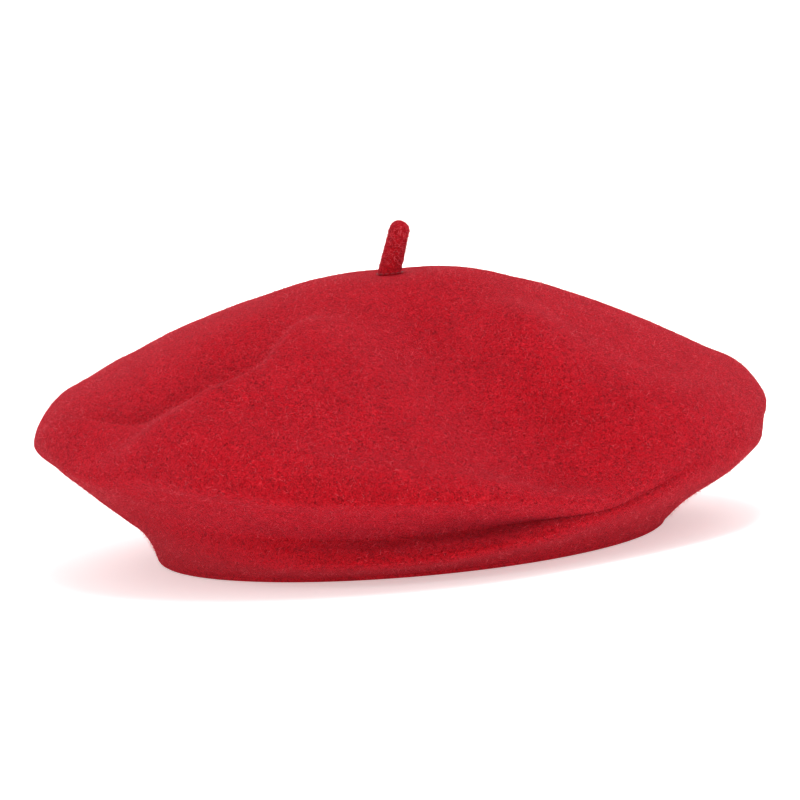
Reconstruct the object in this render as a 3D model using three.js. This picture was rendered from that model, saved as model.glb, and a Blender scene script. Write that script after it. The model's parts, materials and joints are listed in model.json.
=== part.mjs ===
// A soft wool-felt beret with a short felt stalk on top.
// Millimetres, +Z up, +X to the right, -Y to the front, +Y to the back.
// The origin is the centre of the hem, on the plane that the beret rests on.

import * as THREE from 'three';

// ---- driving dimensions ----------------------------------------------------

const GAP = 0.3;                  // clearance between touching pieces
const AROUND = 60;                // flats around the beret
const CURVE_STEPS = 2;            // straight steps between two points of the felt's midline

const FELT = 2.4;                 // thickness of the wool felt
const CROWN_HEIGHT = 103.5;       // apex of the felt
const HEM_RADIUS = 98.4;          // outside of the hem
const HEM_BEND = 1.4;             // midline radius of the two hem corners
const HEM_CHANNEL = 1.6;          // width of the elastic channel inside the hem
const FLAP_HEIGHT = 24;           // how far the turned-in flap reaches up

const STALK_HOLE = 3.6;           // radius of the hole for the stalk's root
const STALK_FOOT = 4.4;           // radius of the stalk's round foot
const STALK_TIP = 3.6;            // radius of its tip
const STALK_LENGTH = 11.8;        // from the foot's centre to the tip's centre
const STALK_LEAN = 17.7;          // degrees from upright, towards +X
const ROOT_FLANGE = 6;            // radius of the root's flange under the felt

const ELASTIC_THICK = 1;
const ELASTIC_WIDTH = 7;
const HEM_THREAD = 0.4;           // radius of the thread that closes the channel

const RIBBON_THICK = 0.7;         // grosgrain sweatband
const RIBBON_LOW = 3;
const RIBBON_HIGH = 24;
const RIBBON_START = 86;          // degrees: the lap sits at the centre back
const RIBBON_LAP = 8;             // degrees of overlap
const RIBBON_STEP = 4;            // degrees for each flat of the ribbon
const THREAD = 0.25;              // radius of the sewing thread

const BOW_HALF = 13;              // from the middle of the bow to the end of a loop
const BOW_TALL = 9;
const BOW_LOOP = 1.9;             // half of a loop's depth
const BOW_PINCH = 0.75;           // half of the depth under the wrap

const LABEL_THICK = 0.5;
const MAKER_LABEL = { from: 110, to: 134, low: 8, high: 20 };
const CARE_LABEL = { angle: 70, wide: 24, tall: 16.3, hinge: 23.4 };

const hemMid = HEM_RADIUS - FELT / 2;
const flapMid = hemMid - FELT - HEM_CHANNEL;
const flapInside = flapMid - FELT / 2;
const channelMid = (hemMid + flapMid) / 2;
const ribbonMid = flapInside - GAP - RIBBON_THICK / 2;
const ribbonInside = ribbonMid - RIBBON_THICK / 2;
const lapShift = RIBBON_THICK + GAP;
const stalkPivot = CROWN_HEIGHT + GAP + STALK_FOOT;

// ---- materials -------------------------------------------------------------

const felt = new THREE.MeshStandardMaterial({ color: 0xb3222f, roughness: 0.95, metalness: 0 });
const ribbonRed = new THREE.MeshStandardMaterial({ color: 0x7d1620, roughness: 0.6, metalness: 0 });
const elasticWhite = new THREE.MeshStandardMaterial({ color: 0xe8e4dc, roughness: 0.8, metalness: 0 });
const threadRed = new THREE.MeshStandardMaterial({ color: 0x8f1a26, roughness: 0.7, metalness: 0 });
const satin = new THREE.MeshStandardMaterial({ color: 0xeeeae2, roughness: 0.4, metalness: 0 });

// ---- small helpers ---------------------------------------------------------

const radians = (degrees) => degrees * Math.PI / 180;

const wrap = (degrees) => ((degrees + 180) % 360 + 360) % 360 - 180;

const bell = (x) => Math.exp(-x * x);

function smooth(low, high, x) {
  const t = Math.min(1, Math.max(0, (x - low) / (high - low)));
  return t * t * (3 - 2 * t);
}

function onRing(radius, degrees, z) {
  return new THREE.Vector3(radius * Math.cos(radians(degrees)), radius * Math.sin(radians(degrees)), z);
}

const group = new THREE.Group();

function addMesh(name, geometry, material, parent = group) {
  const mesh = new THREE.Mesh(geometry, material);
  mesh.name = name;
  parent.add(mesh);
  return mesh;
}

// A closed skin over rows of points. Every row is a loop. The last row joins the first one,
// unless the two end rows are capped.
function skin(rows, { capEnds = false } = {}) {
  const count = rows.length;
  const across = rows[0].length;
  const positions = rows.flat().flatMap((p) => [p.x, p.y, p.z]);
  const faces = [];
  const lastRow = capEnds ? count - 1 : count;
  for (let i = 0; i < lastRow; i += 1) {
    for (let j = 0; j < across; j += 1) {
      const a = i * across + j;
      const b = i * across + (j + 1) % across;
      const c = ((i + 1) % count) * across + (j + 1) % across;
      const d = ((i + 1) % count) * across + j;
      faces.push(a, b, c, a, c, d);
    }
  }
  if (capEnds) {
    for (let j = 1; j < across - 1; j += 1) {
      faces.push(0, j + 1, j);
      const end = (count - 1) * across;
      faces.push(end, end + j, end + j + 1);
    }
  }
  const geometry = new THREE.BufferGeometry();
  geometry.setAttribute('position', new THREE.Float32BufferAttribute(positions, 3));
  geometry.setIndex(faces);
  geometry.computeVertexNormals();
  return geometry;
}

// ---- the felt crown ----------------------------------------------------------

// The middle of the slumped felt at a few angles about Z, as distance from the axis and height.
// rim is the outer edge, or at the front the shelf that sags over it, and bend is how round it is.
// crease is the felt drawn in below it, edge is the lower fold, which is the rim's own edge at
// the front right, and under is the felt between that fold and the hem.
const STATIONS = [
  { angle: 0, rim: [139.2, 43], bend: 13, crease: [134, 27.5], edge: [118, 14.8], under: [103, 7.5] },
  { angle: 20, rim: [138.2, 45], bend: 11, crease: [127, 27], edge: [108, 16], under: [100, 8.5] },
  { angle: 50, rim: [135.8, 49], bend: 10.5, crease: [119.5, 27.5], edge: [104, 16.5], under: [98.6, 8.5] },
  { angle: 90, rim: [133.5, 51], bend: 10.5, crease: [117, 28], edge: [103.5, 16.5], under: [98.4, 8.5] },
  { angle: 140, rim: [136.2, 53.5], bend: 12, crease: [118, 29], edge: [103.5, 17], under: [98.4, 8.5] },
  { angle: 180, rim: [139.8, 51], bend: 13.5, crease: [118.5, 29], edge: [104, 17.5], under: [98.8, 9] },
  { angle: 205, rim: [138.8, 46], bend: 13.5, crease: [117.5, 28], edge: [105, 15.5], under: [99.4, 7] },
  { angle: 222, rim: [137, 42], bend: 12.5, crease: [115.5, 26.5], edge: [108.5, 13], under: [99.8, 5.5] },
  { angle: 240, rim: [134, 38], bend: 9.5, crease: [109.5, 20.5], edge: [114, 10.5], under: [100.5, 4.5] },
  { angle: 260, rim: [131.5, 34.5], bend: 7, crease: [107, 17], edge: [117.5, 9.5], under: [101.5, 4.2] },
  { angle: 275, rim: [129.5, 32], bend: 5.5, crease: [107, 16.5], edge: [119, 10], under: [102, 4.5] },
  { angle: 287, rim: [126.5, 28.5], bend: 4.5, crease: [108.5, 17], edge: [120, 12], under: [102.5, 5.5] },
  { angle: 297, rim: [123.5, 26], bend: 3.5, crease: [112.5, 19], edge: [120.5, 14.2], under: [103, 6.5] },
  { angle: 307, rim: [122.5, 24.5], bend: 3.5, crease: [118.5, 20.5], edge: [120.5, 17.5], under: [104, 7.5] },
  { angle: 318, rim: [124.5, 27.5], bend: 3.5, crease: [122.6, 23.5], edge: [124.5, 21.2], under: [105.5, 9] },
  { angle: 330, rim: [129.5, 33], bend: 5, crease: [129.3, 29], edge: [129, 25.8], under: [107, 10.5] },
  { angle: 343, rim: [134.5, 38.5], bend: 8.5, crease: [135, 32], edge: [130.5, 25.5], under: [106.5, 10.5] },
];

// How the plate falls from the apex to the rim's shoulder: share of the distance from the axis,
// share of the drop at the back and sides, share of the drop at the sagging front.
const PLATE = [
  [0.18, 0, 0.055],
  [0.38, 0.145, 0.22],
  [0.60, 0.37, 0.47],
  [0.78, 0.62, 0.74],
  [0.91, 0.83, 0.92],
  [1, 1, 1],
];
const SAG = { angle: 268, spread: 48 };

// Radial folds of the slumped plate: the angle near the apex and near the rim, the distance from
// the axis at which the one turns into the other, the half-width before and after that angle in
// degrees, the lift, and the distances between which the fold runs.
const FOLDS = [
  { inner: 241, outer: 223, turn: 120, before: 9, after: 20, lift: 10, from: 60, to: 132 },
  { inner: 225, outer: 210, turn: 115, before: 13, after: 12, lift: -7, from: 74, to: 124 },
  { inner: 236, outer: 180, turn: 130, before: 11, after: 12, lift: 3.5, from: 112, to: 142 },
  { inner: 284, outer: 302, turn: 94, before: 18, after: 16, lift: -10, from: 46, to: 114 },
  { inner: 315, outer: 334, turn: 112, before: 12, after: 14, lift: 8, from: 62, to: 128 },
];
const FOLD_TURN = 35;             // a fold turns within this distance of its turning point

function hermite(start, slopeIn, end, slopeOut, t) {
  const a = (2 * t ** 3 - 3 * t ** 2 + 1) * start + (t ** 3 - 2 * t ** 2 + t) * slopeIn;
  return a + (3 * t ** 2 - 2 * t ** 3) * end + (t ** 3 - t ** 2) * slopeOut;
}

// A station's value at any angle, carried smoothly from station to station.
function carried(degrees, pick) {
  const turned = ((degrees % 360) + 360) % 360;
  const count = STATIONS.length;
  const here = STATIONS.findLastIndex((station) => station.angle <= turned);
  const [before, start, end, after] = [-1, 0, 1, 2].map((step) => {
    const index = here + step;
    const station = STATIONS[(index + count) % count];
    return { angle: station.angle + 360 * Math.floor(index / count), value: pick(station) };
  });
  const span = end.angle - start.angle;
  const slopeIn = span * (end.value - before.value) / (end.angle - before.angle);
  const slopeOut = span * (after.value - start.value) / (after.angle - start.angle);
  return hermite(start.value, slopeIn, end.value, slopeOut, (turned - start.angle) / span);
}

// Points that the felt's midline goes through at an angle, from the stalk's hole to the hem.
function midlineControls(degrees) {
  const place = (name) => new THREE.Vector3(
    carried(degrees, (station) => station[name][0]),
    0,
    carried(degrees, (station) => station[name][1]),
  );
  const [rim, crease, edge, under] = ['rim', 'crease', 'edge', 'under'].map(place);
  const bend = carried(degrees, (station) => station.bend);
  const apex = CROWN_HEIGHT - FELT / 2;
  const shoulder = rim.clone().add(new THREE.Vector3(-0.65 * bend, 0, bend));
  const sag = bell(wrap(degrees - SAG.angle) / SAG.spread);
  const plate = PLATE.map(([share, drop, sagged]) => {
    const fall = drop + (sagged - drop) * sag;
    return new THREE.Vector3(share * shoulder.x, 0, apex - fall * (apex - shoulder.z));
  });
  return [
    new THREE.Vector3(STALK_HOLE, 0, apex),
    ...plate,
    rim,
    rim.clone().lerp(crease, 0.3),
    crease,
    edge.clone().lerp(crease, 0.35),
    edge.clone().lerp(under, 0.12),
    under,
    new THREE.Vector3(hemMid, 0, FELT / 2 + HEM_BEND),
  ];
}

// How far the radial folds lift the felt at a distance from the axis, an angle and a height.
function foldLift(radius, degrees, z) {
  let lift = 0;
  for (const fold of FOLDS) {
    const outward = smooth(fold.turn - FOLD_TURN, fold.turn + FOLD_TURN, radius);
    const apart = wrap(degrees - fold.inner - (fold.outer - fold.inner) * outward);
    const across = bell(apart / (apart < 0 ? fold.before : fold.after));
    const rise = smooth(fold.from - 25, fold.from + 10, radius);
    const fall = 1 - smooth(fold.to - 8, fold.to + 18, radius);
    lift += fold.lift * across * rise * fall;
  }
  const aboveRim = z - carried(degrees, (station) => station.rim[1]);
  return lift * smooth(-12, 8, aboveRim) * smooth(6, 30, radius);
}

// The hem's two corners and the flap that is turned in behind the elastic.
function hemTurn() {
  const low = FELT / 2;
  const corner = (turn) => [Math.cos(radians(turn)), Math.sin(radians(turn))];
  const outer = [30, 60, 90].map(corner).map(([across, up]) => (
    [hemMid - HEM_BEND * (1 - across), low + HEM_BEND * (1 - up)]
  ));
  const inner = [0, 30, 60, 90].map(corner).map(([across, up]) => (
    [flapMid + HEM_BEND * (1 - up), low + HEM_BEND * (1 - across)]
  ));
  const middle = (low + HEM_BEND + FLAP_HEIGHT) / 2;
  return [...outer, ...inner, [flapMid, middle], [flapMid, FLAP_HEIGHT]];
}

// The middle of the felt at an angle: from the stalk's hole over the crown, down to the hem,
// round it and up the turned-in flap.
function midline(degrees) {
  const curve = new THREE.CatmullRomCurve3(midlineControls(degrees), false, 'centripetal');
  const crown = curve.getPoints(CURVE_STEPS * (curve.points.length - 1)).map((point) => (
    onRing(point.x, degrees, point.z + foldLift(point.x, degrees, point.z))
  ));
  return [...crown, ...hemTurn().map(([radius, z]) => onRing(radius, degrees, z))];
}

// The felt as one closed shell, half its thickness to each side of the midline.
function feltCrown() {
  const rows = [];
  for (let i = 0; i < AROUND; i += 1) {
    const degrees = i * 360 / AROUND;
    const here = midline(degrees);
    const before = midline(degrees - 0.5);
    const after = midline(degrees + 0.5);
    const outside = [];
    const inside = [];
    here.forEach((point, k) => {
      const along = here[Math.min(here.length - 1, k + 1)].clone().sub(here[Math.max(0, k - 1)]);
      const around = after[k].clone().sub(before[k]);
      const normal = around.cross(along).normalize().multiplyScalar(-FELT / 2);
      if (k === 0) {
        normal.set(0, 0, FELT / 2);
      }
      outside.push(point.clone().add(normal));
      inside.push(point.clone().sub(normal));
    });
    rows.push([...outside, ...inside.reverse()]);
  }
  return skin(rows);
}

// ---- the stalk ---------------------------------------------------------------

// A solid of revolution about Z from a profile that goes up from axis to axis.
function turned(profile, segments = 20) {
  const points = profile.map(([radius, z]) => new THREE.Vector2(radius, z));
  return new THREE.LatheGeometry(points, segments).rotateX(Math.PI / 2);
}

// Points of a round end about a centre on the axis, from one angle of latitude to another.
function roundEnd(radius, z, from, to, steps = 4) {
  const points = [];
  for (let i = 0; i <= steps; i += 1) {
    const a = radians(from + (to - from) * i / steps);
    points.push([Math.abs(a) === Math.PI / 2 ? 0 : radius * Math.cos(a), z + radius * Math.sin(a)]);
  }
  return points;
}

function addStalk() {
  const leaning = new THREE.Group();
  leaning.position.z = stalkPivot;
  leaning.rotation.y = radians(STALK_LEAN);
  group.add(leaning);
  const foot = roundEnd(STALK_FOOT, 0, -90, 0);
  const tip = roundEnd(STALK_TIP, STALK_LENGTH, 0, 90);
  addMesh('stem', turned([...foot, ...tip]), felt, leaning);
}

// The stalk's root fills the hole and spreads into a flange under the felt.
function addStalkRoot() {
  const shank = STALK_HOLE - GAP;
  const flangeTop = CROWN_HEIGHT - FELT - 2 * GAP;
  const flangeLow = flangeTop - 1.5;
  addMesh('stem_root', turned([
    [0, flangeLow],
    [ROOT_FLANGE, flangeLow],
    [ROOT_FLANGE, flangeTop],
    [shank, flangeTop],
    [shank, CROWN_HEIGHT],
    [0, CROWN_HEIGHT],
  ]), felt);
  const knot = 1.5;
  addMesh('stem_knot', turned(roundEnd(knot, flangeLow - GAP - knot, -90, 90, 6), 12), threadRed);
}

// ---- rings of thread and elastic ----------------------------------------------

// A ring around the beret's axis; section(degrees) gives [radius, z] points that go
// round the section clockwise.
function ring(section, segments = AROUND) {
  const rows = [];
  for (let i = 0; i < segments; i += 1) {
    const degrees = i * 360 / segments;
    rows.push(section(degrees).map(([radius, z]) => onRing(radius, degrees, z)));
  }
  return skin(rows);
}

function threadSection(radius, z, thick) {
  const points = [];
  for (const turn of [0, 90, 180, 270]) {
    const a = radians(45 - turn);
    points.push([radius + thick * Math.cos(a), z + thick * Math.sin(a)]);
  }
  return points;
}

const bandSection = (inner, outer, low, high) => [[inner, low], [inner, high], [outer, high], [outer, low]];

function addStalkThread() {
  const height = CROWN_HEIGHT + 2.5 * GAP;
  addMesh('stem_thread', ring(() => threadSection(STALK_FOOT + 0.9, height, THREAD), 24), threadRed);
}

function addHemRings() {
  const low = FELT + GAP;
  const high = low + ELASTIC_WIDTH;
  const inner = channelMid - ELASTIC_THICK / 2;
  const outer = channelMid + ELASTIC_THICK / 2;
  addMesh('elastic_band', ring(() => bandSection(inner, outer, low, high)), elasticWhite);
  const threadHeight = high + 2 * GAP + HEM_THREAD;
  addMesh('channel_thread', ring(() => threadSection(channelMid, threadHeight, HEM_THREAD)), threadRed);
}

// ---- the sweatband ------------------------------------------------------------

// A strip that follows the inside of the hem from one angle to another, with ends.
function strip(from, to, section) {
  const rows = [];
  for (let degrees = from; degrees <= to; degrees += RIBBON_STEP) {
    rows.push(section(degrees).map(([radius, z]) => onRing(radius, degrees, z)));
  }
  return skin(rows, { capEnds: true });
}

// The ribbon goes once round, and its end steps inward over its own start.
function addSweatband() {
  const end = RIBBON_START + 360 + RIBBON_LAP;
  addMesh('sweatband', strip(RIBBON_START, end, (degrees) => {
    const mid = ribbonMid - lapShift * smooth(RIBBON_START + 350, RIBBON_START + 360, degrees);
    return bandSection(mid - RIBBON_THICK / 2, mid + RIBBON_THICK / 2, RIBBON_LOW, RIBBON_HIGH);
  }), ribbonRed);
  const lapMiddle = RIBBON_START + RIBBON_LAP / 2;
  addMesh('sweatband_thread', ring((degrees) => {
    const apart = Math.abs(wrap(degrees - lapMiddle));
    const overLap = 1 - smooth(14, 22, apart);
    const radius = ribbonInside - GAP - THREAD - lapShift * overLap;
    return threadSection(radius, RIBBON_LOW + 1.6, THREAD);
  }, 360 / RIBBON_STEP), threadRed);
}

// ---- the bow at the centre back -------------------------------------------------

// Half the depth of the folded bow ribbon at a distance from its middle.
function bowHalf(x) {
  const round = 4;
  const past = Math.max(0, x - (BOW_HALF - round)) / round;
  const opening = BOW_PINCH + (BOW_LOOP - BOW_PINCH) * smooth(2, 7, x);
  return opening * Math.sqrt(Math.max(0, 1 - past * past));
}

function bowShape() {
  const stations = [0, 2, 3.5, 5, 7, 9, 11, 12.2, 12.8];
  const right = stations.map((x) => [x, bowHalf(x)]);
  const upper = [...right.slice(1).reverse().map(([x, y]) => [-x, y]), ...right];
  const lower = upper.map(([x, y]) => [x, -y]).reverse();
  const outline = [[-BOW_HALF, 0], ...upper, [BOW_HALF, 0], ...lower];
  const shape = new THREE.Shape(outline.map(([x, y]) => new THREE.Vector2(x, y)));
  for (const side of [-1, 1]) {
    const hole = new THREE.Path();
    hole.absellipse(side * 8.2, 0, 3.9, BOW_LOOP - RIBBON_THICK, 0, 2 * Math.PI);
    shape.holes.push(new THREE.Path(hole.getPoints(4)));
  }
  return shape;
}

function addBow() {
  const bow = new THREE.Group();
  bow.position.set(0, ribbonInside - lapShift - 3 * GAP - BOW_LOOP, (RIBBON_LOW + RIBBON_HIGH) / 2);
  group.add(bow);
  const loops = new THREE.ExtrudeGeometry(bowShape(), { depth: BOW_TALL, bevelEnabled: false });
  addMesh('bow_ribbon', loops.translate(0, 0, -BOW_TALL / 2), ribbonRed, bow);

  const wide = 3.6;
  const inY = BOW_PINCH + GAP;
  const inZ = BOW_TALL / 2 + GAP;
  const thick = RIBBON_THICK - 0.1;
  const frame = new THREE.Shape(rectangle(inZ + thick, inY + thick));
  frame.holes.push(new THREE.Path(rectangle(inZ, inY)));
  const wrapBand = new THREE.ExtrudeGeometry(frame, { depth: wide, bevelEnabled: false });
  wrapBand.translate(0, 0, -wide / 2).rotateY(Math.PI / 2);
  addMesh('bow_wrap', wrapBand, ribbonRed, bow);
}

function rectangle(halfX, halfY) {
  const corners = [[-1, -1], [1, -1], [1, 1], [-1, 1]];
  return corners.map(([x, y]) => new THREE.Vector2(x * halfX, y * halfY));
}

// ---- the labels -----------------------------------------------------------------

function stitchRow(length) {
  return new THREE.CylinderGeometry(THREAD, THREAD, length, 6);
}

// A blank woven label sewn flat to the sweatband at its two short ends.
function addMakerLabel() {
  const { from, to, low, high } = MAKER_LABEL;
  const outer = ribbonInside - GAP;
  const inner = outer - LABEL_THICK;
  addMesh('maker_label', strip(from, to, () => bandSection(inner, outer, low, high)), satin);
  for (const [name, degrees] of [['right', from + 1.5], ['left', to - 1.5]]) {
    const row = stitchRow(high - low - 1).rotateX(Math.PI / 2);
    const mesh = addMesh(`maker_label_stitch_${name}`, row, threadRed);
    mesh.position.copy(onRing(inner - GAP - THREAD, degrees, (low + high) / 2));
  }
}

// A blank care label that hangs from a row of stitches and swings about it.
function addCareLabel() {
  const { angle, wide, tall, hinge } = CARE_LABEL;
  const turnedTo = new THREE.Group();
  turnedTo.rotation.z = radians(angle);
  group.add(turnedTo);
  const away = Math.sqrt((ribbonInside - GAP) ** 2 - (wide / 2) ** 2) - LABEL_THICK;
  const flap = addMesh('care_label', new THREE.BoxGeometry(LABEL_THICK, wide, tall), satin, turnedTo);
  flap.position.set(away, 0, hinge - THREAD - 1.5 * GAP - tall / 2);
  const row = addMesh('care_label_thread', stitchRow(wide - 2), threadRed, turnedTo);
  row.position.set(away, 0, hinge);
}

addMesh('felt_crown', feltCrown(), felt);
addStalk();
addStalkRoot();
addStalkThread();
addHemRings();
addSweatband();
addBow();
addMakerLabel();
addCareLabel();

export default group;
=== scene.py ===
"""A slumped wool-felt beret with a short felt stalk, standing on its hem.

Everything is made in millimetres in the CAD frame and scaled to metres when a mesh is built:
+Z up, +X right, -Y front, +Y back, origin in the middle of the hem on the floor.
"""
import json
import math

import bpy
import numpy as np
from mathutils import Matrix, Vector, noise


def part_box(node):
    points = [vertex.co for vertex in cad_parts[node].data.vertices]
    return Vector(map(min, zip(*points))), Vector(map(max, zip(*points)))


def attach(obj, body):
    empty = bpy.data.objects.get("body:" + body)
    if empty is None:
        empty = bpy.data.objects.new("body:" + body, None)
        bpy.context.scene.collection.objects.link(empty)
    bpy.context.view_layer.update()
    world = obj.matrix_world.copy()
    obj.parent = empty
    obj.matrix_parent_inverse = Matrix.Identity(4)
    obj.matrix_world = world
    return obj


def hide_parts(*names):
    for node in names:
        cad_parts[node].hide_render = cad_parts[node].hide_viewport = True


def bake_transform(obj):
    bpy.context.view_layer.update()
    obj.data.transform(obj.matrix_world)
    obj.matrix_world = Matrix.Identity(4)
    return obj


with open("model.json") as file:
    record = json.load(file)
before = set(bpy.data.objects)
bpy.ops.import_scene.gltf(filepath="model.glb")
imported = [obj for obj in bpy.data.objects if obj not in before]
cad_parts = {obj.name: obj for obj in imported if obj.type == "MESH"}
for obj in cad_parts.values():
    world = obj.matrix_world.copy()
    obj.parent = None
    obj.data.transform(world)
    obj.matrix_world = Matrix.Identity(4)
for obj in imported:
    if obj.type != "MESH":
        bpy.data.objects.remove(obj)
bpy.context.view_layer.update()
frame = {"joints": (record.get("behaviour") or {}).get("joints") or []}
MM = 0.001
FINE = 1.0

# ---- sizes, in millimetres and degrees, and counts --------------------------------------

CROWN_POINTS = 480              # points once round the felt
CROWN_STEPS = 14                # steps between two control points of its midline
FELT = 2.4                      # thickness of the wool felt
HEM_BEND = 1.4                  # midline radius of the hem's two corners
HEM_CHANNEL = 1.6               # width of the elastic's channel
FLAP_HEIGHT = 24.0              # how far the turned-in flap reaches up
FLAP_GAP = 0.3                  # clearance between the flap and the ribbon
WAVES = ((0.32, 13.0), (0.13, 4.5))  # height and spread of the felt's small unevenness

STALK_HOLE = 3.6                # radius of the hole that the stalk's root fills
STALK_NECK = 3.3                # radius of the root inside the hole
STALK_TIP = 3.9                 # radius of the stalk's round tip
STALK_LENGTH = 15.6             # from the hinge to the tip, along the stalk
STALK_LEAN = 17.7               # from upright, towards +X
STALK_POINTS = 40               # points once round the stalk
STALK_LUMPS = 0.16              # height of the stalk's unevenness
LUMP_SCALE = 420.0              # how close its lumps are, per metre
PUCKER = 1.0                    # how far the gathering thread draws the felt down at the stalk

NAP_COUNT = 14000               # loose fibres on the crown
STALK_NAP_COUNT = 800           # loose fibres on the stalk
NAP_CLEAR = 15.0                # none within this distance of the axis, where the stalk bends over
NAP_LENGTH = (1.1, 2.4)         # shortest and longest fibre
NAP_RISE = (12, 55)             # least and most angle between a fibre and the felt
NAP_CURL = 0.35                 # most that a fibre's end turns aside, as a share of its length
NAP_ROOT = 0.12                 # how far below the felt's surface a fibre starts
NAP_SHAPE = ((0.0, 0.050), (0.5, 0.045), (1.0, 0.015))  # share of the length, and radius there
NAP_SEED = 7

RIBBON_THICK = 0.7              # grosgrain sweatband
RIBBON_START = 86.0             # the ribbon starts and laps at the centre back
RIBBON_LAP = 8.0
LAP_STEP = 1.0                  # how far the lapped end lies inside the ribbon's start
LAP_RAMP = 10.0                 # the ribbon steps in over this angle
RIB_COUNT = 540                 # ribs once round the head
RIB_HEIGHT = 0.05
ELASTIC_THICK = 0.9
ELASTIC_INSET = 0.5             # from the outer face of the CAD elastic to its middle
GATHERS = 180                   # once round the elastic
GATHER_HEIGHT = 0.05
BOW_THICK = 0.5

THREAD = 0.2                    # radius of the sewing thread
FINE_THREAD = 0.16              # at the stalk and at the maker's label
CHANNEL_THREAD = 0.28           # along the elastic's channel
STITCH_POINTS = 7               # points along one stitch
STALK_STITCHES = 14
SWEATBAND_STITCHES = 216
CHANNEL_STITCHES = 190
MAKER_STITCHES = 5
CARE_STITCHES = 8

LABEL_THICK = 0.3
MAKER_FROM, MAKER_TO = 110.0, 134.0
MAKER_GAP = 0.55                # from the ribbon's face to the middle of the label
MAKER_SEAM = 1.5                # angle from the label's end to its stitches
CARE_WIDTH = 24.0
CARE_SEAM = 2.2                 # from the label's corner to the middle of its first stitch


def in_mm(corner):
    return np.array(corner) * 1000.0


def node_box(node):
    low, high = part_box(node)
    return in_mm(low), in_mm(high)


RIBBON_RADIUS = node_box("sweatband")[1][0]
HEM_MID = RIBBON_RADIUS + FLAP_GAP + FELT + HEM_CHANNEL + FELT / 2
FLAP_MID = HEM_MID - FELT - HEM_CHANNEL
CROWN_TOP = node_box("stem_root")[1][2]
APEX = CROWN_TOP - FELT / 2
PIVOTS = {joint["name"]: joint for joint in frame["joints"]}


# ---- small helpers ----------------------------------------------------------------

def smooth(low, high, x):
    t = np.clip((x - low) / (high - low), 0.0, 1.0)
    return t * t * (3.0 - 2.0 * t)


def wrap(degrees):
    return (degrees + 180.0) % 360.0 - 180.0


def bell(x):
    return np.exp(-x * x)


def on_ring(radius, degrees, z):
    """Points at a radius and an angle about Z, stacked in the last axis."""
    turn = np.radians(degrees)
    return np.stack(np.broadcast_arrays(radius * np.cos(turn), radius * np.sin(turn), z), -1)


def mesh_object(name, points, faces, material):
    """A smooth-shaded mesh from points in millimetres."""
    mesh = bpy.data.meshes.new(name)
    mesh.from_pydata((np.asarray(points) * MM).tolist(), [], faces)
    mesh.validate()
    mesh.shade_smooth()
    mesh.materials.append(material)
    piece = bpy.data.objects.new(name, mesh)
    bpy.context.scene.collection.objects.link(piece)
    return piece


def grid_faces(rows, columns, close_rows):
    """Faces between rows of points; each row is a ring, and the rows may form one too."""
    faces = []
    for i in range(rows if close_rows else rows - 1):
        for j in range(columns):
            a = i * columns + j
            b = i * columns + (j + 1) % columns
            c = ((i + 1) % rows) * columns + (j + 1) % columns
            d = ((i + 1) % rows) * columns + j
            faces.append((a, b, c, d))
    return faces


def end_faces(rows, columns):
    """The two faces that close the first and the last ring."""
    last = (rows - 1) * columns
    return [tuple(range(columns)), tuple(last + i for i in reversed(range(columns)))]


def joined(parts):
    """Several pairs of points and faces as one pair."""
    points, faces, first = [], [], 0
    for part_points, part_faces in parts:
        faces += [tuple(first + corner for corner in face) for face in part_faces]
        points.append(part_points)
        first += len(part_points)
    return np.concatenate(points), faces


def outwards(path):
    """Unit directions out of a flat loop of points."""
    along = np.roll(path, -1, 0) - np.roll(path, 1, 0)
    along /= np.linalg.norm(along, axis=1, keepdims=True)
    return np.stack([along[:, 1], -along[:, 0]], -1)


def face_out(piece):
    """Turns the faces of a closed mesh outwards."""
    mesh = piece.data
    mesh.calc_loop_triangles()
    corners = np.empty(len(mesh.vertices) * 3)
    mesh.vertices.foreach_get("co", corners)
    corners = corners.reshape(-1, 3)
    triangles = np.empty(len(mesh.loop_triangles) * 3, np.int32)
    mesh.loop_triangles.foreach_get("vertices", triangles)
    a, b, c = corners[triangles.reshape(-1, 3)].transpose(1, 0, 2)
    volume = float(np.einsum("ij,ij->", a, np.cross(b, c)))
    if volume < 0:
        mesh.flip_normals()
    return piece


# ---- materials ----------------------------------------------------------------------

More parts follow.
